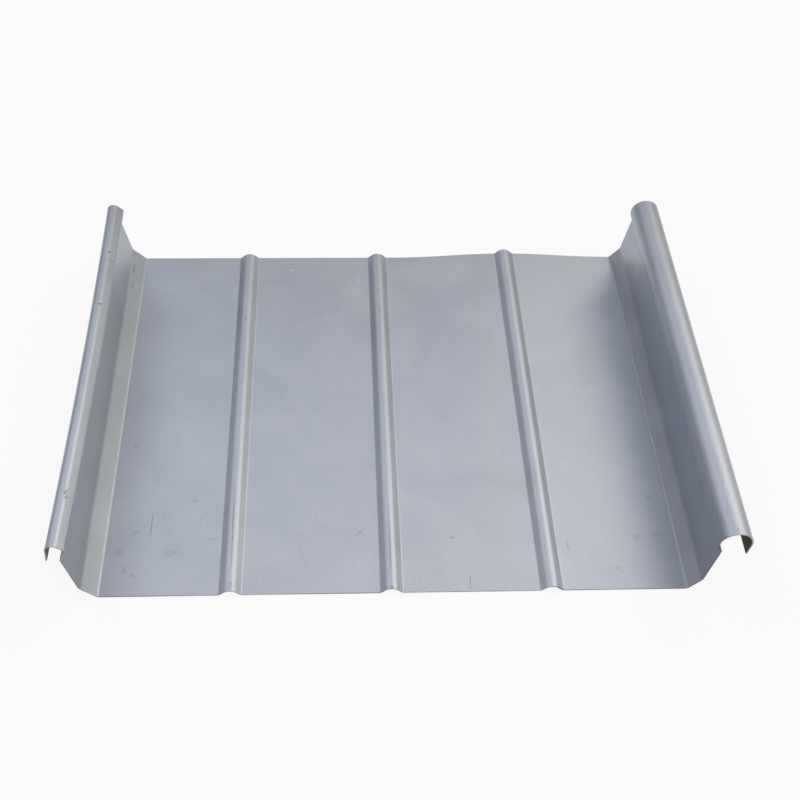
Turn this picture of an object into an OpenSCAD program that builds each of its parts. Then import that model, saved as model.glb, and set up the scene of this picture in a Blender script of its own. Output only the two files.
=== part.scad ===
// Standing seam roof sheet, a short length. One aluminium strip is rolled to a flat pan with raised
// ribs, a slanted foot and a leaning web on each side, a small hooked bead on the left web and a
// large round bead on the right web, which laps over the small bead of the next sheet.

/* [Sheet] */
// Thickness of the strip
sheet_t = 0.9; // [0.7:0.05:1.2]
// Length of the piece, along Y
sheet_l = 350; // [100:1:2000]

/* [Pan and ribs] */
// Width of the pan from fold to fold, on its upper face
pan_w = 409.5; // [360:0.5:520]
// Distance of the middle rib from the pan's middle, towards the small bead
rib_offset = 2.4; // [0:0.1:10]
// Number of ribs on each side of the middle one
side_ribs = 1; // [0:1:1]
// Distance from rib to rib
rib_pitch = 112; // [60:0.5:120]
// Width of a rib, from pan to pan
rib_w = 17.2; // [14.5:0.1:24]
// Slope of a rib's flanks
rib_slope = 40.5; // [30:0.1:60]
// Radius of a rib's crown, on its upper face
rib_crown_r = 7; // [3:0.1:8]
// Inside radius where a rib leaves the pan
rib_base_r = 1.6; // [0.5:0.1:3]

/* [Feet and webs] */
// Inside radius of the fold between pan and foot
fold_r = 3; // [0.5:0.1:8]
// Inside radius of the heel between foot and web
heel_r = 6.5; // [0.5:0.1:8]
// Length of the web from heel to neck
web_l = 34; // [20:0.1:60]
// Inside radius of the neck between web and bead
neck_r = 0.9; // [0.4:0.1:2]

/* [Large bead side] */
// Length of the slanted foot from the pan's fold to the web's heel
large_foot_l = 13.4; // [8:0.1:25]
// Slope of the foot
large_foot_slope = 50.55; // [30:0.05:60]
// Lean of the web below the bead, away from the pan
large_web_lean = 8.9; // [0:0.1:15]
// Radius of the bead's hollow
large_bead_r = 10.7; // [9:0.1:14]
// Turn of the neck from the web towards the pan
large_neck_turn = 48.35; // [30:0.05:60]
// Length of the free lip, which runs down beside the web
large_lip_l = 9.4; // [4:0.1:20]

/* [Small bead side] */
// Length of the slanted foot from the pan's fold to the web's heel
small_foot_l = 15; // [8:0.1:25]
// Slope of the foot
small_foot_slope = 44.15; // [30:0.05:60]
// Lean of the web below the bead, away from the pan
small_web_lean = 11.5; // [0:0.1:15]
// Radius of the bead's round top, inside
small_bead_r = 4.4; // [3:0.1:6]
// Turn of the neck from the web towards the pan
small_neck_turn = 37.65; // [20:0.05:50]
// Straight wall from the neck to the bead's shoulder
small_wall_l = 8.6; // [4:0.1:14]
// Inside radius of the shoulder
shoulder_r = 2; // [0.5:0.1:4]
// Turn of the shoulder, back over the web
shoulder_turn = 73.9; // [50:0.1:90]
// Straight slope from the shoulder to the round top
small_slope_l = 4.6; // [1:0.1:9]
// Length of the free lip
small_lip_l = 11.2; // [4:0.1:20]
// Splay of the free lip away from the web
small_lip_splay = 16.55; // [0:0.05:25]

/* [Hidden] */
$fn = 128;

// Distance from a bend's corner to where its arc starts, for a turn towards the upper face
function setback(inside_r, turn) = inside_r * tan(turn / 2);

rib_arc_r = rib_crown_r + rib_base_r;
rib_flank_l = (rib_w / 2 - rib_arc_r * sin(rib_slope)) / cos(rib_slope);
rib_h = rib_arc_r * (1 - cos(rib_slope)) + rib_flank_l * sin(rib_slope);
crown_inside_r = rib_crown_r - sheet_t;

field_flat_l = rib_pitch - rib_w;
edge_l = pan_w / 2 - side_ribs * rib_pitch - rib_w / 2;

// A step of the strip is [straight length, turn, inside radius]. It first runs straight and then
// bends, to its upper face where the turn is positive and to its lower face where it is negative.
half_rib = [
    [0, -rib_slope, crown_inside_r],
    [rib_flank_l, rib_slope, rib_base_r]
];
whole_rib = [
    [field_flat_l, rib_slope, rib_base_r],
    [rib_flank_l, -rib_slope, crown_inside_r],
    each half_rib
];
half_pan = concat(half_rib, [for (i = [1:1:side_ribs]) each whole_rib]);

function web_steps(field_l, foot_l, foot_slope, lean, neck_turn) =
    let (heel_turn = 90 - foot_slope - lean)
    let (fold_setback = setback(fold_r, foot_slope))
    let (heel_setback = setback(heel_r, heel_turn))
    [
        [field_l - fold_setback, foot_slope, fold_r],
        [foot_l - fold_setback - heel_setback, heel_turn, heel_r],
        [web_l - heel_setback - setback(neck_r, neck_turn), neck_turn, neck_r]
    ];
right_web_steps =
    web_steps(edge_l + rib_offset, large_foot_l, large_foot_slope, large_web_lean, large_neck_turn);
left_web_steps =
    web_steps(edge_l - rib_offset, small_foot_l, small_foot_slope, small_web_lean, small_neck_turn);
large_bead_steps = [
    [0, -180 - large_neck_turn, large_bead_r],
    [large_lip_l, 0, 0]
];
small_bead_steps = [
    [small_wall_l, -shoulder_turn, shoulder_r],
    [small_slope_l, shoulder_turn - small_neck_turn - 180 + small_lip_splay, small_bead_r],
    [small_lip_l, 0, 0]
];
right_steps = concat(half_pan, right_web_steps, large_bead_steps);
left_steps = concat(half_pan, left_web_steps, small_bead_steps);

// Place and heading [x, y, angle] of the upper face after a number of steps, from a flat start
function ahead(angle) = [cos(angle), sin(angle)];
function bend_side(step) = step[1] > 0 ? 1 : -1;
function face_r(step) = step[1] > 0 ? step[2] : step[2] + sheet_t;
function bend_centre(place, step) =
    [place.x, place.y] + step[0] * ahead(place[2]) + bend_side(step) * face_r(step) * ahead(place[2] + 90);
function after_step(place, step) =
    let (end = bend_centre(place, step) - bend_side(step) * face_r(step) * ahead(place[2] + step[1] + 90))
    [end.x, end.y, place[2] + step[1]];
function place_after(steps, count) =
    count == 0 ? [0, 0, 0] : after_step(place_after(steps, count - 1), steps[count - 1]);

// Outermost reach of each side from the middle rib, at its bead or at the end of its lip
function side_reach(steps) =
    let (bead = len(steps) - 2)
    let (bead_x = bend_centre(place_after(steps, bead), steps[bead]).x + face_r(steps[bead]))
    max(bead_x, place_after(steps, bead + 1).x + steps[bead + 1][0] * cos(place_after(steps, bead + 1)[2]));
mid_rib_x = (side_reach(left_steps) - side_reach(right_steps)) / 2;

// Half of the plane ahead of the strip's end, as large as a bend needs
module half_plane(reach) {
    translate([-reach, 0]) square([2 * reach, reach]);
}

// The part of a ring that a bend turns through, about the bend's centre
module bend_wedge(turn, reach) {
    if (abs(turn) < 180) {
        intersection() {
            half_plane(reach);
            rotate(turn) mirror([0, 1]) half_plane(reach);
        }
    } else {
        half_plane(reach);
        rotate(turn) mirror([0, 1]) half_plane(reach);
    }
}

// One bend of the strip, about its centre
module bend(turn, inside_r) {
    intersection() {
        difference() {
            circle(r = inside_r + sheet_t);
            circle(r = inside_r);
        }
        bend_wedge(turn, 2 * (inside_r + sheet_t));
    }
}

// The strip from one step to its end. It runs along +Y, with its upper face on X = 0.
module strip(steps, first = 0) {
    if (first < len(steps)) {
        flat_l = steps[first][0];
        turn = steps[first][1];
        inside_r = steps[first][2];
        centre_x = turn > 0 ? -inside_r : inside_r + sheet_t;
        if (flat_l > 0) square([sheet_t, flat_l]);
        translate([centre_x, flat_l]) {
            if (turn != 0) bend(turn, inside_r);
            rotate(turn) translate([-centre_x, 0]) strip(steps, first + 1);
        }
    }
}

// The rolled section, with X across the sheet and Y up from the underside of the pan
module section() {
    translate([mid_rib_x, rib_h + sheet_t]) {
        rotate(-90) strip(right_steps);
        mirror([1, 0]) rotate(-90) strip(left_steps);
    }
}

module roof_sheet() {
    color([0.68, 0.70, 0.74]) rotate([90, 0, 0]) linear_extrude(height = sheet_l, center = true) section();
}

roof_sheet();
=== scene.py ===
import math
import bpy
from mathutils import Matrix, Vector


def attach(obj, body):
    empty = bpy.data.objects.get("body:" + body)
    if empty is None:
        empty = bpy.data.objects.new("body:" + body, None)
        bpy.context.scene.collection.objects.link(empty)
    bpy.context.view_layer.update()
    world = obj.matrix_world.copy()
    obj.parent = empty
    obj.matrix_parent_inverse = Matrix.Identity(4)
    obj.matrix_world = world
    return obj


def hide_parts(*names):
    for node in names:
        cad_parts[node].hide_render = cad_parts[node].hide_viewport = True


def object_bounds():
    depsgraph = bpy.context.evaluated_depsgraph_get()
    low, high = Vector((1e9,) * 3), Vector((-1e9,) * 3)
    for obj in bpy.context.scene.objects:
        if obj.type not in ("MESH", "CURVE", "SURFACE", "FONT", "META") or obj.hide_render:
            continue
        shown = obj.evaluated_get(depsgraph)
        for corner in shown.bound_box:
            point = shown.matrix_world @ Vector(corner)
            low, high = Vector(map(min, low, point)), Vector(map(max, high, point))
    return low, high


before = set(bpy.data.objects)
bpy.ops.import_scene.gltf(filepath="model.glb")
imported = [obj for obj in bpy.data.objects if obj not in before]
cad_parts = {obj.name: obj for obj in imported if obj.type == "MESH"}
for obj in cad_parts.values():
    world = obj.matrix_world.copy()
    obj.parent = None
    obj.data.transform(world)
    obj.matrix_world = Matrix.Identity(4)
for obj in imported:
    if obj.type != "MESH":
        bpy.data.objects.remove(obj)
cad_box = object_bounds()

# Roof sheet, rolled section.
# The sheet is one aluminium strip of even thickness, bent by rollers to a flat pan with three ribs, a slanted
# foot and a leaning web on each side, a small hooked bead on the left and a large round bead on the right.
MM = 0.001
sheet_t = 0.9 * MM
pan_w = 409.5 * MM
rib_pitch = 112 * MM
rib_offset = 2.4 * MM
rib_w = 17.2 * MM
rib_slope = math.radians(40.5)
rib_crown_r = 7 * MM
rib_base_r = 1.6 * MM
fold_r = 3 * MM
heel_r = 6.5 * MM
web_l = 34 * MM
neck_r = 0.9 * MM
large_foot_l = 13.4 * MM
large_foot_slope = math.radians(50.55)
large_web_lean = math.radians(8.9)
large_bead_r = 10.7 * MM
large_neck_turn = math.radians(48.35)
large_lip_l = 9.4 * MM
small_foot_l = 15 * MM
small_foot_slope = math.radians(44.15)
small_web_lean = math.radians(11.5)
small_bead_r = 4.4 * MM
small_neck_turn = math.radians(37.65)
small_wall_l = 8.6 * MM
shoulder_r = 2 * MM
shoulder_turn = math.radians(73.9)
small_slope_l = 4.6 * MM
small_lip_l = 11.2 * MM
small_lip_splay = math.radians(16.55)

sheet_l = cad_box[1].y - cad_box[0].y
# About how far apart the section's points are, along a flat and round a bend.
flat_step = 9 * MM
arc_step = math.radians(5)

# A step of the strip is (straight length, turn, inside radius). It first runs straight and then bends, to its
# upper face where the turn is positive and to its lower face where it is negative.
crown_inside_r = rib_crown_r - sheet_t
rib_arc_r = rib_crown_r + rib_base_r
rib_flank_l = (rib_w / 2 - rib_arc_r * math.sin(rib_slope)) / math.cos(rib_slope)
rib_h = rib_arc_r * (1 - math.cos(rib_slope)) + rib_flank_l * math.sin(rib_slope)
half_rib = [(0, -rib_slope, crown_inside_r), (rib_flank_l, rib_slope, rib_base_r)]
next_rib = [(rib_pitch - rib_w, rib_slope, rib_base_r), (rib_flank_l, -rib_slope, crown_inside_r)]
half_pan = half_rib + next_rib + half_rib


def setback(inside_r, turn):
    """Distance from a bend's corner to where its arc starts."""
    return inside_r * math.tan(turn / 2)


def web_steps(half_w, foot_l, foot_slope, lean, neck_turn):
    heel_turn = math.pi / 2 - foot_slope - lean
    fold_cut = setback(fold_r, foot_slope)
    heel_cut = setback(heel_r, heel_turn)
    return [
        (half_w - rib_pitch - rib_w / 2 - fold_cut, foot_slope, fold_r),
        (foot_l - fold_cut - heel_cut, heel_turn, heel_r),
        (web_l - heel_cut - setback(neck_r, neck_turn), neck_turn, neck_r),
    ]


def upper_face(steps):
    """Points (x, z) of the upper face from the middle rib's crown outwards, each with its run so far."""
    place, heading, run = Vector((0, 0)), 0.0, 0.0
    points = [(place.copy(), run)]
    for length, turn, inside_r in steps:
        parts = max(1, round(length / flat_step)) if length > 0 else 0
        for _ in range(parts):
            place = place + Vector((math.cos(heading), math.sin(heading))) * (length / parts)
            run += length / parts
            points.append((place.copy(), run))
        if turn:
            side = 1 if turn > 0 else -1
            radius = inside_r if turn > 0 else inside_r + sheet_t
            centre = place + Vector((-math.sin(heading), math.cos(heading))) * side * radius
            parts = max(3, round(abs(turn) / arc_step))
            for _ in range(parts):
                heading += turn / parts
                run += radius * abs(turn) / parts
                place = centre - Vector((-math.sin(heading), math.cos(heading))) * side * radius
                points.append((place.copy(), run))
    return points


large_bead = [(0, -math.pi - large_neck_turn, large_bead_r), (large_lip_l, 0, 0)]
small_bead = [
    (small_wall_l, -shoulder_turn, shoulder_r),
    (small_slope_l, shoulder_turn - small_neck_turn - math.pi + small_lip_splay, small_bead_r),
    (small_lip_l, 0, 0),
]
right_web = web_steps(
    pan_w / 2 + rib_offset, large_foot_l, large_foot_slope, large_web_lean, large_neck_turn
)
left_web = web_steps(
    pan_w / 2 - rib_offset, small_foot_l, small_foot_slope, small_web_lean, small_neck_turn
)
right_half = upper_face(half_pan + right_web + large_bead)
left_half = upper_face(half_pan + left_web + small_bead)
strip = [(Vector((-point.x, point.y)), -run) for point, run in reversed(left_half[1:])] + right_half

# The middle rib stands where the sheet's box puts it, and its crown is a rib's height above the pan.
outer_right = max(point.x for point, run in strip)
mid_rib_x = cad_box[1].x - outer_right
crown_z = rib_h + sheet_t

section = bpy.data.meshes.new("rolled_section")
section.from_pydata(
    [(mid_rib_x + point.x, 0, crown_z + point.y) for point, run in strip],
    [(i, i + 1) for i in range(len(strip) - 1)],
    [],
)
across = section.attributes.new("across", "FLOAT", "POINT")
across.data.foreach_set("value", [run for point, run in strip])
sheet = bpy.data.objects.new("roof_sheet_skin", section)
bpy.context.scene.collection.objects.link(sheet)


# Roof sheet, surface.
# Mill-finish aluminium, satin and bluish grey. The rollers leave a fine grain along the sheet, so light
# spreads across it. Handling has left scratches, smudges and specks of dirt, pale scuffs, and small dents
# in the beads, which are darkened. The folds carry dirt specks, are duller, and have painted shade that
# dims their highlight. The cut edges are painted darker in patches, partly their own tone and partly
# painted shade, the underside is painted a little darker as painted shade, and the inside of the beads
# is painted dark brown as painted shade.
def new_group(name, tree_type, inputs, outputs):
    group = bpy.data.node_groups.new(name, tree_type)
    for label, kind, value in inputs:
        socket = group.interface.new_socket(label, in_out="INPUT", socket_type=kind)
        if value is not None:
            socket.default_value = value
    for label, kind in outputs:
        group.interface.new_socket(label, in_out="OUTPUT", socket_type=kind)
    return group


def add_node(tree, kind, links=None, **settings):
    """A node with its properties set, and its inputs linked or given a value by name or number."""
    node = tree.nodes.new(kind)
    for key, value in settings.items():
        setattr(node, key, value)
    for key, value in (links or {}).items():
        if isinstance(value, bpy.types.NodeSocket):
            tree.links.new(value, node.inputs[key])
        else:
            node.inputs[key].default_value = value
    return node


def add_math(tree, operation, first, second=0.0):
    return add_node(tree, "ShaderNodeMath", {0: first, 1: second}, operation=operation).outputs[0]


def add_mix(tree, factor, first, second):
    return add_node(tree, "ShaderNodeMix", {0: factor, 6: first, 7: second}, data_type="RGBA").outputs[2]


# The grain of the rolled strip, from its place on the flat strip in millimetres.
grain = new_group(
    "Rolling grain",
    "ShaderNodeTree",
    [
        ("Strip", "NodeSocketVector", None),
        ("Speckle Size", "NodeSocketFloat", 1.1),
        ("Line Width", "NodeSocketFloat", 0.9),
        ("Line Length", "NodeSocketFloat", 45.0),
        ("Cloud Size", "NodeSocketFloat", 55.0),
    ],
    [("Speckle", "NodeSocketFloat"), ("Lines", "NodeSocketFloat"), ("Clouds", "NodeSocketFloat")],
)
given = add_node(grain, "NodeGroupInput").outputs
speckle = add_node(
    grain,
    "ShaderNodeTexNoise",
    {"Vector": given["Strip"], "Scale": add_math(grain, "DIVIDE", 1.0, given["Speckle Size"]), "Detail": 1.0},
    noise_dimensions="2D",
).outputs[0]
line_shape = add_node(
    grain, "ShaderNodeCombineXYZ", {"X": given["Line Width"], "Y": given["Line Length"], "Z": 1.0}
)
drawn_out = add_node(
    grain, "ShaderNodeVectorMath", {0: given["Strip"], 1: line_shape.outputs[0]}, operation="DIVIDE"
).outputs[0]
lines = add_node(
    grain, "ShaderNodeTexNoise", {"Vector": drawn_out, "Scale": 1.0, "Detail": 2.0}, noise_dimensions="2D"
).outputs[0]
clouds = add_node(
    grain,
    "ShaderNodeTexNoise",
    {
        "Vector": given["Strip"],
        "Scale": add_math(grain, "DIVIDE", 1.0, given["Cloud Size"]),
        "Detail": 3.0,
        "Distortion": 0.8,
    },
    noise_dimensions="2D",
).outputs[0]
add_node(grain, "NodeGroupOutput", {"Speckle": speckle, "Lines": lines, "Clouds": clouds})

# One long soft mark on the strip, laid over the marks before it.
mark = new_group(
    "Handling mark",
    "ShaderNodeTree",
    [
        ("Strip", "NodeSocketVector", None),
        ("Under", "NodeSocketFloat", 0.0),
        ("Centre", "NodeSocketVector", None),
        ("Turn", "NodeSocketFloat", 0.0),
        ("Half Size", "NodeSocketVector", None),
        ("Strength", "NodeSocketFloat", 1.0),
    ],
    [("Mask", "NodeSocketFloat")],
)
given = add_node(mark, "NodeGroupInput").outputs
off_centre = add_node(
    mark, "ShaderNodeVectorMath", {0: given["Strip"], 1: given["Centre"]}, operation="SUBTRACT"
).outputs[0]
lengthwise = add_node(
    mark,
    "ShaderNodeVectorRotate",
    {"Vector": off_centre, "Angle": add_math(mark, "MULTIPLY", given["Turn"], -1.0)},
    rotation_type="Z_AXIS",
).outputs[0]
in_halves = add_node(
    mark, "ShaderNodeVectorMath", {0: lengthwise, 1: given["Half Size"]}, operation="DIVIDE"
).outputs[0]
reach = add_node(mark, "ShaderNodeVectorMath", {0: in_halves}, operation="LENGTH").outputs["Value"]
inside = add_node(
    mark,
    "ShaderNodeMapRange",
    {"Value": reach, "From Min": 1.1, "From Max": 0.4, "To Min": 0.0, "To Max": given["Strength"]},
    interpolation_type="SMOOTHSTEP",
).outputs[0]
add_node(mark, "NodeGroupOutput", {"Mask": add_math(mark, "MAXIMUM", given["Under"], inside)})


def add_marks(tree, place, marks):
    """Mask of marks given as (across, along, turn, half length, half width, strength), in mm and degrees."""
    mask = 0.0
    for across_mm, along_mm, turn, half_l, half_w, strength in marks:
        node = add_node(
            tree,
            "ShaderNodeGroup",
            {
                "Strip": place,
                "Under": mask,
                "Centre": (across_mm, along_mm, 0),
                "Turn": math.radians(turn),
                "Half Size": (half_l, half_w, 1),
                "Strength": strength,
            },
            node_tree=mark,
        )
        mask = node.outputs["Mask"]
    return mask


# Places on the strip run across from the middle rib and along from the middle of the sheet's length.
rib_scratches = [
    (-115.1, -117, 91, 48, 0.45, 0.55),
    (-113.9, -170, 80, 3.0, 0.6, 0.60),
    (-115.0, 95, 90, 4.0, 0.5, 0.55),
    (-115.7, 22, 90, 4.0, 0.5, 0.50),
    (-0.2, 127, 90, 3.5, 0.6, 0.65),
    (0.1, 104, 90, 3.0, 0.5, 0.60),
    (0.0, -139, 90, 37, 0.45, 0.55),
    (0.3, -174, 90, 1.5, 0.8, 0.80),
]
pan_scratches = [
    (-175.5, -115, 90, 14, 0.45, 0.60),
    (-131, -127.8, 0, 7, 0.4, 0.35),
    (56.8, -167, 87, 9, 0.45, 0.60),
    (132.2, -138, -80, 5.5, 0.5, 0.50),
    (46.6, -129.3, -20, 2.0, 0.7, 0.75),
    (90.7, -49.8, 60, 3.0, 0.5, 0.45),
    (-22.5, -123.4, 50, 7.5, 0.6, 0.35),
    (-32.6, -131.5, 27, 7.0, 0.5, 0.32),
    (-64, -142, -78, 23, 0.7, 0.18),
]
smudges = [
    (-141, -110.8, 30, 2.4, 1.2, 0.60),
    (-145.8, -93.5, 0, 1.6, 1.1, 0.60),
    (-196.8, -138.9, 60, 5.0, 3.4, 0.50),
    (-185.9, -121.7, 20, 3.5, 2.2, 0.45),
    (-191, -153.4, 80, 4.5, 2.4, 0.45),
    (-184.2, -158.5, 0, 3.5, 2.2, 0.40),
    (-160.2, -139.5, 10, 7.0, 4.5, 0.35),
    (-194.2, -41.3, 0, 1.6, 1.3, 0.60),
    (-40, 82.9, 0, 1.5, 1.2, 0.60),
    (97.8, 129.7, 0, 1.8, 1.3, 0.70),
    (198, -129.4, 0, 6.0, 1.8, 0.45),
    (183.1, -130.9, 0, 4.5, 2.6, 0.35),
    (198.4, -94.7, 40, 3.0, 2.4, 0.55),
    (165.6, -157.5, 0, 3.5, 2.4, 0.35),
    (207.6, 170.8, 90, 2.5, 1.2, 0.70),
]
bead_scrapes = [
    (282.9, -129.8, 70, 4.0, 0.5, 0.45),
    (280.6, -155.5, 80, 3.0, 0.5, 0.45),
    (284.9, -171.4, 80, 2.5, 0.6, 0.45),
    (255.9, 133.6, 80, 6.0, 0.7, 0.40),
    (272, 68.7, 90, 5.0, 0.6, 0.40),
    (261.4, -159.3, 55, 11, 0.5, 0.35),
    (-217.6, 153, 90, 8.0, 1.2, 0.50),
    (-216.8, 132, 90, 6.0, 1.1, 0.45),
]
# Painted shade along the folds, dimming their highlight, broken into dirt specks by the speckle.
fold_specks_and_shade = [
    (-206.4, 0, 90, 260, 1.8, 0.12),
    (211.2, 0, 90, 260, 1.8, 0.35),
]
pale_scuffs = [
    (-76.1, 158.7, 0, 1.7, 1.5, 0.90),
    (-19, 145, 90, 8.0, 0.8, 0.45),
    (-24, 131, 20, 13, 9, 0.16),
    (52, 155, 0, 46, 24, 0.20),
    (-23, -151.9, 0, 2.0, 0.8, 0.50),
    (-236.9, -31.8, 0, 1.5, 1.2, 0.80),
]
bead_dents = [
    (-273.4, 116.9, 80, 2.4, 1.2, 1.0),
    (-270.4, 108.5, 80, 2.2, 1.2, 0.8),
    (-274.3, 55.6, 80, 2.4, 1.2, 1.0),
    (-250, -0.7, 80, 2.2, 1.0, 0.8),
    (-274.3, -129.8, 70, 2.2, 1.2, 1.0),
    (-273.1, -133.6, 70, 2.0, 1.0, 0.8),
]
bright_metal = (0.455, 0.480, 0.535, 1)
dull_metal = (0.375, 0.400, 0.455, 1)
dirt_and_shade_tone = (0.12, 0.11, 0.10, 1)
scuffed_metal = (0.62, 0.65, 0.64, 1)
# Painted shade: the underside is the same aluminium, painted a little darker.
shaded_under_metal = (0.30, 0.31, 0.33, 1)
# Painted shade in the hollows of the beads, dark brown.
painted_shade_in_beads = (0.11, 0.095, 0.075, 1)
# The cut edges' tones: partly the sheared metal's own tone, partly painted shade.
sheared_metal = (0.38, 0.36, 0.37, 1)
edge_tint_and_shade = (0.15, 0.11, 0.11, 1)
metre_mm = 1000.0
ragged_scale = 0.5
ragged_mm_wide = 1.2
dash_from = 0.38
dash_full = 0.55
dash_least = 0.35
dot_from = 0.5
dot_full = 0.62
dot_least = 0.05
speckle_share = 1.6
line_share = 0.3
tone_from = 0.95
tone_to = 1.95
dent_darkening = 0.25
bead_from_mm = 255.0
bead_full_mm = 275.0
edge_patch_from = 0.4
edge_patch_full = 0.6
satin_from = 0.3
satin_full = 0.7
smooth_satin = 0.37
rough_satin = 0.39
dirt_roughness = 0.2
dirt_dullness = 0.6
anisotropy = 0.88
grain_relief_mm = 0.008
dent_depth_mm = 0.2

aluminium = bpy.data.materials.new("rolled_aluminium")
aluminium.use_nodes = True
metal = aluminium.node_tree
shader = metal.nodes["Principled BSDF"]
strip_m = add_node(metal, "ShaderNodeUVMap", uv_map="strip").outputs[0]
strip_mm = add_node(
    metal, "ShaderNodeVectorMath", {0: strip_m, "Scale": metre_mm}, operation="SCALE"
).outputs[0]
rolled = add_node(metal, "ShaderNodeGroup", {"Strip": strip_mm}, node_tree=grain).outputs
ragged = add_node(
    metal,
    "ShaderNodeTexNoise",
    {"Vector": strip_mm, "Scale": ragged_scale, "Detail": 2.0},
    noise_dimensions="2D",
).outputs["Color"]
sideways = add_node(
    metal, "ShaderNodeVectorMath", {0: ragged, 1: (0.5, 0.5, 0.5)}, operation="SUBTRACT"
).outputs[0]
shift_mm = add_node(
    metal, "ShaderNodeVectorMath", {0: sideways, "Scale": ragged_mm_wide}, operation="SCALE"
).outputs[0]
ragged_mm = add_node(metal, "ShaderNodeVectorMath", {0: strip_mm, 1: shift_mm}, operation="ADD").outputs[0]

# The speckle breaks scratches up into dashes and smudges into dots.
scratch_and_fold_shade_mask = add_marks(metal, ragged_mm, rib_scratches + pan_scratches + bead_scrapes + fold_specks_and_shade)
dashes = add_node(
    metal,
    "ShaderNodeMapRange",
    {"Value": rolled["Speckle"], "From Min": dash_from, "From Max": dash_full, "To Min": dash_least},
).outputs[0]
smudged = add_marks(metal, ragged_mm, smudges)
dots = add_node(
    metal,
    "ShaderNodeMapRange",
    {"Value": rolled["Speckle"], "From Min": dot_from, "From Max": dot_full, "To Min": dot_least},
).outputs[0]
dashed = add_math(metal, "MULTIPLY", scratch_and_fold_shade_mask, dashes)
dotted = add_math(metal, "MULTIPLY", smudged, dots)
dark = add_math(metal, "MAXIMUM", dashed, dotted)
pale = add_marks(metal, ragged_mm, pale_scuffs)
dents = add_marks(metal, ragged_mm, bead_dents)

grainy = add_math(
    metal,
    "ADD",
    add_math(metal, "MULTIPLY", rolled["Speckle"], speckle_share),
    add_math(metal, "MULTIPLY", rolled["Lines"], line_share),
)
uneven = add_math(metal, "ADD", grainy, rolled["Clouds"])
tone = add_node(
    metal, "ShaderNodeMapRange", {"Value": uneven, "From Min": tone_from, "From Max": tone_to}
).outputs[0]
colour = add_mix(metal, tone, dull_metal, bright_metal)
colour = add_mix(metal, pale, colour, scuffed_metal)
# The dents are darkened in colour as well as pressed in.
dented = add_math(metal, "MULTIPLY", dents, dent_darkening)
# Dark marks are painted in one dark tone: dirt, and along the folds painted shade.
dirt_and_shade_mask = add_math(metal, "MAXIMUM", dark, dented)
colour = add_mix(metal, dirt_and_shade_mask, colour, dirt_and_shade_tone)
# The lower face takes the darker underside colour, which is painted shade.
under = add_node(metal, "ShaderNodeAttribute", attribute_name="under_side").outputs["Fac"]
run_mm = add_node(metal, "ShaderNodeSeparateXYZ", {0: strip_mm}).outputs["X"]
from_middle = add_math(metal, "ABSOLUTE", run_mm)
# Painted shade: inside the beads the underside is painted dark brown, as the shade in their hollows.
bead_shade_share = add_node(
    metal,
    "ShaderNodeMapRange",
    {"Value": from_middle, "From Min": bead_from_mm, "From Max": bead_full_mm},
).outputs[0]
colour = add_mix(metal, under, colour, add_mix(metal, bead_shade_share, shaded_under_metal, painted_shade_in_beads))
# The cut edges are painted darker, with cloudy dark reddish patches: partly their own tone, partly painted
# shade.
sheared = add_node(metal, "ShaderNodeAttribute", attribute_name="cut_edge").outputs["Fac"]
edge_tint_and_shade_share = add_node(
    metal, "ShaderNodeMapRange", {"Value": rolled["Clouds"], "From Min": edge_patch_from, "From Max": edge_patch_full}
).outputs[0]
colour = add_mix(metal, sheared, colour, add_mix(metal, edge_tint_and_shade_share, sheared_metal, edge_tint_and_shade))
metal.links.new(colour, shader.inputs["Base Color"])

satin = add_node(
    metal,
    "ShaderNodeMapRange",
    {
        "Value": rolled["Clouds"],
        "From Min": satin_from,
        "From Max": satin_full,
        "To Min": smooth_satin,
        "To Max": rough_satin,
    },
).outputs[0]
rough = add_math(metal, "ADD", satin, add_math(metal, "MULTIPLY", dirt_and_shade_mask, dirt_roughness))
metal.links.new(rough, shader.inputs["Roughness"])
clean = add_math(metal, "SUBTRACT", 1.0, add_math(metal, "MULTIPLY", dirt_and_shade_mask, dirt_dullness))
metal.links.new(clean, shader.inputs["Metallic"])
shader.inputs["Anisotropic"].default_value = anisotropy
across_grain = add_node(metal, "ShaderNodeTangent", direction_type="UV_MAP", uv_map="strip").outputs[0]
metal.links.new(across_grain, shader.inputs["Tangent"])

relief = add_math(metal, "MULTIPLY", grainy, grain_relief_mm)
relief = add_math(metal, "SUBTRACT", relief, add_math(metal, "MULTIPLY", dents, dent_depth_mm))
bump = add_node(metal, "ShaderNodeBump", {"Height": relief, "Strength": 1.0, "Distance": MM}).outputs[0]
metal.links.new(bump, shader.inputs["Normal"])


# Roof sheet, sweep.
# The section is drawn out to the sheet's length, and its lower face lies one thickness below the upper one.
# The pan of this thin off-cut springs up a little at its far end, about the right rib, and the small bead
# bows in at mid-length.
lift = 4.5 * MM
lift_x = mid_rib_x + rib_pitch
lift_reach = 95 * MM
bow = 1.8 * MM
bow_from_z = 12 * MM
bow_full_z = 56 * MM
row_count = 61
crease_angle = math.radians(50)
weld_gap = 0.01 * MM
sweep = new_group(
    "Rolled sheet",
    "GeometryNodeTree",
    [
        ("Section", "NodeSocketGeometry", None),
        ("Length", "NodeSocketFloat", sheet_l),
        ("Thickness", "NodeSocketFloat", sheet_t),
        ("Rows", "NodeSocketInt", row_count),
        ("Lift", "NodeSocketFloat", lift),
        ("Lift X", "NodeSocketFloat", lift_x),
        ("Lift Reach", "NodeSocketFloat", lift_reach),
        ("Bow", "NodeSocketFloat", bow),
        ("Bow From Z", "NodeSocketFloat", bow_from_z),
        ("Bow Full Z", "NodeSocketFloat", bow_full_z),
        ("Material", "NodeSocketMaterial", None),
    ],
    [("Sheet", "NodeSocketGeometry")],
)
given = add_node(sweep, "NodeGroupInput").outputs
count = add_node(
    sweep, "GeometryNodeAttributeDomainSize", {"Geometry": given["Section"]}
).outputs["Point Count"]
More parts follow.
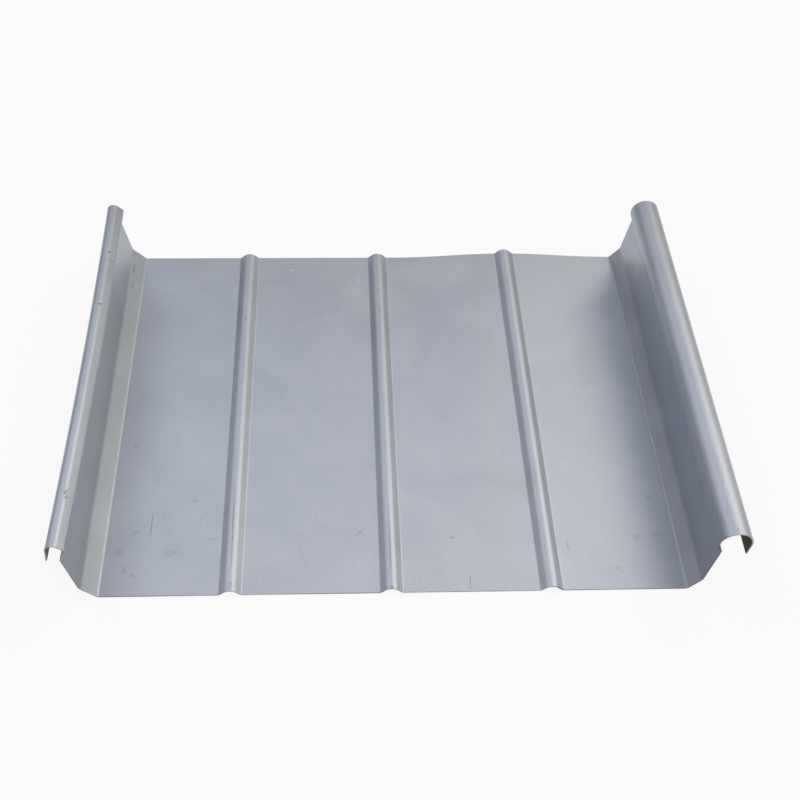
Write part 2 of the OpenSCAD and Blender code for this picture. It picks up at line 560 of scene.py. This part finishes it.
grid = add_node(
    sweep,
    "GeometryNodeMeshGrid",
    {"Size X": 1.0, "Size Y": given["Length"], "Vertices X": count, "Vertices Y": given["Rows"]},
).outputs["Mesh"]
place = add_node(sweep, "GeometryNodeInputPosition").outputs[0]
flat = add_node(sweep, "ShaderNodeSeparateXYZ", {0: place}).outputs
last = add_math(sweep, "SUBTRACT", count, 1.0)
column_share = add_math(sweep, "MULTIPLY", add_math(sweep, "ADD", flat["X"], 0.5), last)
column = add_math(sweep, "ROUND", column_share)
section_place = add_node(
    sweep,
    "GeometryNodeSampleIndex",
    {"Geometry": given["Section"], "Value": place, "Index": column},
    data_type="FLOAT_VECTOR",
    domain="POINT",
).outputs["Value"]
run_input = add_node(sweep, "GeometryNodeInputNamedAttribute", {"Name": "across"}, data_type="FLOAT")
section_run = add_node(
    sweep,
    "GeometryNodeSampleIndex",
    {"Geometry": given["Section"], "Value": run_input.outputs["Attribute"], "Index": column},
    data_type="FLOAT",
    domain="POINT",
).outputs["Value"]
strip_place = add_node(sweep, "ShaderNodeCombineXYZ", {"X": section_run, "Y": flat["Y"]}).outputs[0]
with_strip = add_node(
    sweep,
    "GeometryNodeStoreNamedAttribute",
    {"Geometry": grid, "Name": "strip", "Value": strip_place},
    data_type="FLOAT2",
    domain="CORNER",
).outputs["Geometry"]
bent = add_node(sweep, "ShaderNodeSeparateXYZ", {0: section_place}).outputs
from_rib = add_math(sweep, "ABSOLUTE", add_math(sweep, "SUBTRACT", bent["X"], given["Lift X"]))
lift_share = add_node(
    sweep,
    "ShaderNodeMapRange",
    {"Value": from_rib, "From Min": 0.0, "From Max": given["Lift Reach"], "To Min": 1.0, "To Max": 0.0},
    interpolation_type="SMOOTHSTEP",
).outputs[0]
far_share = add_math(sweep, "ADD", add_math(sweep, "DIVIDE", flat["Y"], given["Length"]), 0.5)
rise = add_math(sweep, "MULTIPLY", add_math(sweep, "MULTIPLY", lift_share, far_share), given["Lift"])
lifted = add_math(sweep, "ADD", bent["Z"], rise)
bow_share = add_node(
    sweep,
    "ShaderNodeMapRange",
    {"Value": bent["Z"], "From Min": given["Bow From Z"], "From Max": given["Bow Full Z"]},
).outputs[0]
near_share = add_math(sweep, "SUBTRACT", 1.0, far_share)
middle_share = add_math(sweep, "MULTIPLY", add_math(sweep, "MULTIPLY", far_share, near_share), 4.0)
bow_share = add_math(sweep, "MULTIPLY", bow_share, middle_share)
bow_share = add_math(sweep, "MULTIPLY", bow_share, add_math(sweep, "LESS_THAN", bent["X"], 0.0))
bowed = add_math(sweep, "ADD", bent["X"], add_math(sweep, "MULTIPLY", bow_share, given["Bow"]))
swept_place = add_node(sweep, "ShaderNodeCombineXYZ", {"X": bowed, "Y": flat["Y"], "Z": lifted}).outputs[0]
upper = add_node(
    sweep, "GeometryNodeSetPosition", {"Geometry": with_strip, "Position": swept_place}
).outputs[0]
turned = add_node(sweep, "GeometryNodeFlipFaces", {"Mesh": upper}).outputs[0]
lower = add_node(
    sweep,
    "GeometryNodeExtrudeMesh",
    {"Mesh": turned, "Offset Scale": given["Thickness"], "Individual": False},
    mode="FACES",
)
edged = add_node(
    sweep,
    "GeometryNodeStoreNamedAttribute",
    {"Geometry": lower.outputs["Mesh"], "Selection": lower.outputs["Side"], "Name": "cut_edge", "Value": 1.0},
    data_type="FLOAT",
    domain="FACE",
).outputs["Geometry"]
lined = add_node(
    sweep,
    "GeometryNodeStoreNamedAttribute",
    {"Geometry": edged, "Selection": lower.outputs["Top"], "Name": "under_side", "Value": 1.0},
    data_type="FLOAT",
    domain="FACE",
).outputs["Geometry"]
joined = add_node(sweep, "GeometryNodeJoinGeometry")
sweep.links.new(upper, joined.inputs[0])
sweep.links.new(lined, joined.inputs[0])
closed = add_node(
    sweep, "GeometryNodeMergeByDistance", {"Geometry": joined.outputs[0], "Distance": weld_gap}
).outputs[0]
smooth = add_node(sweep, "GeometryNodeSetShadeSmooth", {"Geometry": closed}, domain="FACE").outputs[0]
angle = add_node(sweep, "GeometryNodeInputMeshEdgeAngle").outputs["Unsigned Angle"]
sharp = add_node(
    sweep, "FunctionNodeCompare", {0: angle, 1: crease_angle}, operation="GREATER_THAN"
).outputs[0]
creased = add_node(
    sweep,
    "GeometryNodeSetShadeSmooth",
    {"Geometry": smooth, "Selection": sharp, "Shade Smooth": False},
    domain="EDGE",
).outputs[0]
real = add_node(sweep, "GeometryNodeRealizeInstances", {"Geometry": creased}).outputs[0]
finished = add_node(
    sweep, "GeometryNodeSetMaterial", {"Geometry": real, "Material": given["Material"]}
).outputs[0]
add_node(sweep, "NodeGroupOutput", {"Sheet": finished})

rolling = sheet.modifiers.new("rolling", "NODES")
rolling.node_group = sweep
for item in sweep.interface.items_tree:
    if item.in_out == "INPUT" and item.name == "Material":
        rolling[item.identifier] = aluminium
depsgraph = bpy.context.evaluated_depsgraph_get()
sheet.data = bpy.data.meshes.new_from_object(
    sheet.evaluated_get(depsgraph), preserve_all_data_layers=True, depsgraph=depsgraph
)
sheet.modifiers.clear()
sheet.data.materials.clear()
sheet.data.materials.append(aluminium)
sheet.data.polygons.foreach_set("material_index", [0] * len(sheet.data.polygons))
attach(sheet, "root")
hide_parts("roof_sheet")

# Floor.
# A large pale board, flat under the sheet. Most of what is seen of it is its own white, and the rest takes
# the sheet's soft shadow.
floor_mesh = bpy.data.meshes.new("floor")
floor_reach = 6.0
floor_drop = 0.05 * MM
board_tone = (0.9, 0.9, 0.9, 1)
white_share = 0.9
floor_mesh.from_pydata(
    [
        (-floor_reach, -floor_reach, 0),
        (floor_reach, -floor_reach, 0),
        (floor_reach, floor_reach, 0),
        (-floor_reach, floor_reach, 0),
    ],
    [],
    [(0, 1, 2, 3)],
)
floor = bpy.data.objects.new("floor", floor_mesh)
floor.location.z = -floor_drop
bpy.context.scene.collection.objects.link(floor)
board = bpy.data.materials.new("pale_board")
board.use_nodes = True
paper = board.node_tree
paper.nodes.remove(paper.nodes["Principled BSDF"])
lit = add_node(paper, "ShaderNodeBsdfDiffuse", {"Color": board_tone}).outputs[0]
white = add_node(paper, "ShaderNodeEmission", {"Color": (1, 1, 1, 1), "Strength": 1.0}).outputs[0]
ray = add_node(paper, "ShaderNodeLightPath").outputs
seen = add_math(paper, "MAXIMUM", ray["Is Camera Ray"], ray["Is Glossy Ray"])
seen = add_math(paper, "MAXIMUM", seen, ray["Is Transmission Ray"])
part_seen = add_math(paper, "MULTIPLY", seen, white_share)
mixed = add_node(paper, "ShaderNodeMixShader", {0: part_seen, 1: lit, 2: white}).outputs[0]
paper.links.new(mixed, paper.nodes["Material Output"].inputs["Surface"])
floor.data.materials.append(board)

# Light.
# A dim tent with soft glowing panels: strong warm ones behind the sheet on the right, weaker ones behind it
# on the left, and wide faint ones before, beside and above it, which light it for the other views.
glow = new_group(
    "Soft panel",
    "ShaderNodeTree",
    [
        ("Direction", "NodeSocketVector", None),
        ("Towards", "NodeSocketVector", None),
        ("Sharpness", "NodeSocketFloat", 30.0),
        ("Strength", "NodeSocketFloat", 1.0),
    ],
    [("Light", "NodeSocketFloat")],
)
given = add_node(glow, "NodeGroupInput").outputs
facing = add_node(
    glow, "ShaderNodeVectorMath", {0: given["Direction"], 1: given["Towards"]}, operation="DOT_PRODUCT"
).outputs["Value"]
fall = add_math(glow, "MULTIPLY", add_math(glow, "SUBTRACT", facing, 1.0), given["Sharpness"])
soft = add_math(glow, "EXPONENT", fall)
add_node(glow, "NodeGroupOutput", {"Light": add_math(glow, "MULTIPLY", soft, given["Strength"])})

# Each panel has its turn from the far side to the right and its height, both in degrees, its sharpness, its
# strength and its colour.
panels = [
    (50, 46, 30, 2.90, (1.03, 1.00, 0.92)),
    (30, 46, 30, 0.37, (0.90, 1.00, 1.12)),
    (30, 32, 30, 0.95, (1.05, 1.00, 0.84)),
    (50, 32, 30, 0.65, (1.10, 1.00, 0.82)),
    (0, 36, 30, 0.35, (1.00, 1.00, 1.00)),
    (-30, 46, 30, 0.58, (0.82, 1.00, 1.50)),
    (-50, 46, 30, 1.50, (1.05, 1.00, 0.92)),
    (-30, 32, 30, 0.62, (1.00, 1.00, 0.95)),
    (100, 20, 3, 0.20, (1.00, 1.00, 1.00)),
    (-100, 20, 3, 0.14, (1.00, 1.00, 1.00)),
    (180, 25, 3, 0.75, (1.00, 1.00, 1.00)),
    (0, 90, 14, 0.55, (1.00, 1.00, 1.00)),
]
tent_tone = (0.02, 0.02, 0.02)
backdrop_tone = (0.955, 0.955, 0.955, 1)

world = bpy.data.worlds.new("light_tent")
bpy.context.scene.world = world
world.use_nodes = True
tent = world.node_tree
background = tent.nodes["Background"]
direction = add_node(tent, "ShaderNodeTexCoord").outputs["Generated"]
light = tent_tone
for turn, height, sharpness, strength, tint in panels:
    turn, height = math.radians(turn), math.radians(height)
    towards = (math.cos(height) * math.sin(turn), math.cos(height) * math.cos(turn), math.sin(height))
    panel = add_node(
        tent,
        "ShaderNodeGroup",
        {"Direction": direction, "Towards": towards, "Sharpness": sharpness, "Strength": strength},
        node_tree=glow,
    ).outputs["Light"]
    tinted = add_node(tent, "ShaderNodeVectorMath", {0: tint, "Scale": panel}, operation="SCALE").outputs[0]
    light = add_node(tent, "ShaderNodeVectorMath", {0: light, 1: tinted}, operation="ADD").outputs[0]

# The camera sees a pale backdrop, and the metal sees the panels, which shade it.
ray = add_node(tent, "ShaderNodeLightPath").outputs
shown = add_node(
    tent, "ShaderNodeMix", {0: ray["Is Camera Ray"], 6: light, 7: backdrop_tone}, data_type="RGBA"
).outputs[2]
tent.links.new(shown, background.inputs["Color"])

bpy.context.scene.view_settings.view_transform = "Standard"

# Camera.
# It looks down the sheet's length from the near end, a little to the left of the middle.
frame_px = 800
focal_px = 1214.8
centre_px = 385.0
pitch = math.radians(47.856)
yaw = math.radians(3.546)
roll = math.radians(2.156)
eye = Vector((mid_rib_x - 38.57 * MM, cad_box[0].y - 465.39 * MM, sheet_t + 714.33 * MM))
camera_data = bpy.data.cameras.new("camera")
camera_data.sensor_width = 36
camera_data.lens = focal_px / frame_px * camera_data.sensor_width
camera_data.shift_x = (frame_px / 2 - centre_px) / frame_px
camera = bpy.data.objects.new("camera", camera_data)
forward = Vector((math.sin(yaw) * math.cos(pitch), math.cos(yaw) * math.cos(pitch), -math.sin(pitch)))
level_right = Vector((math.cos(yaw), -math.sin(yaw), 0))
level_up = level_right.cross(forward)
right = level_right * math.cos(roll) + level_up * math.sin(roll)
up = level_up * math.cos(roll) - level_right * math.sin(roll)
camera.matrix_world = Matrix.Translation(eye) @ Matrix((right, up, -forward)).transposed().to_4x4()
bpy.context.scene.collection.objects.link(camera)
bpy.context.scene.camera = camera
